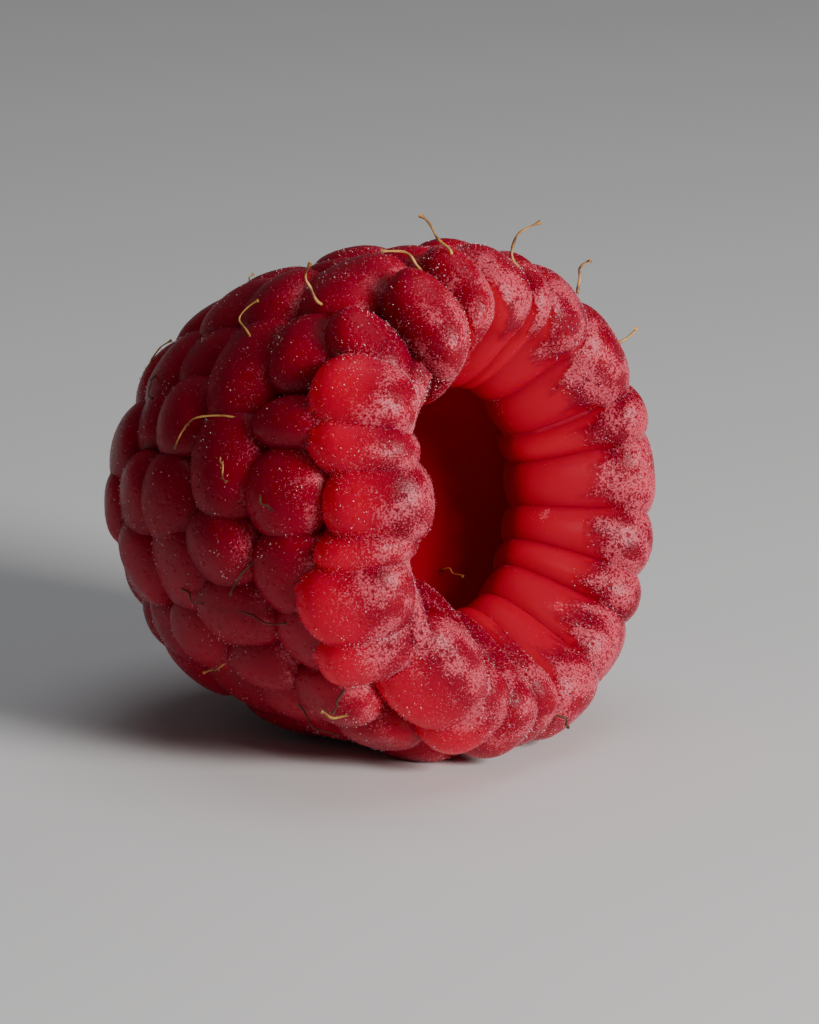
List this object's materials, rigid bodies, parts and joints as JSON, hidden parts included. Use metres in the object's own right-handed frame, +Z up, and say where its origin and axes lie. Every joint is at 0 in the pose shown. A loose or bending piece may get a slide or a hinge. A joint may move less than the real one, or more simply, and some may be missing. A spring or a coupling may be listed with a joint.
{
  "type": "raspberry",
  "caption": "Fresh raspberry picked off its receptacle and lying on its side: a thimble of small round drupelets about an open hollow, with dried styles and fine down.",
  "frame": {"origin": "on the surface that the fruit lies on, under the middle of its box, where one of its pressed flats is", "axes": "+X the way the mouth of the hollow faces, before it is tipped 7 degrees up; +Z up"},
  "size_m": [0.0216, 0.0232, 0.0237],
  "materials": {
    "berry_flesh": "crimson juicy flesh under a fine pale down"
  },
  "bodies": {
    "root": {"drupelets": "berry_flesh"}
  },
  "joints": []
}
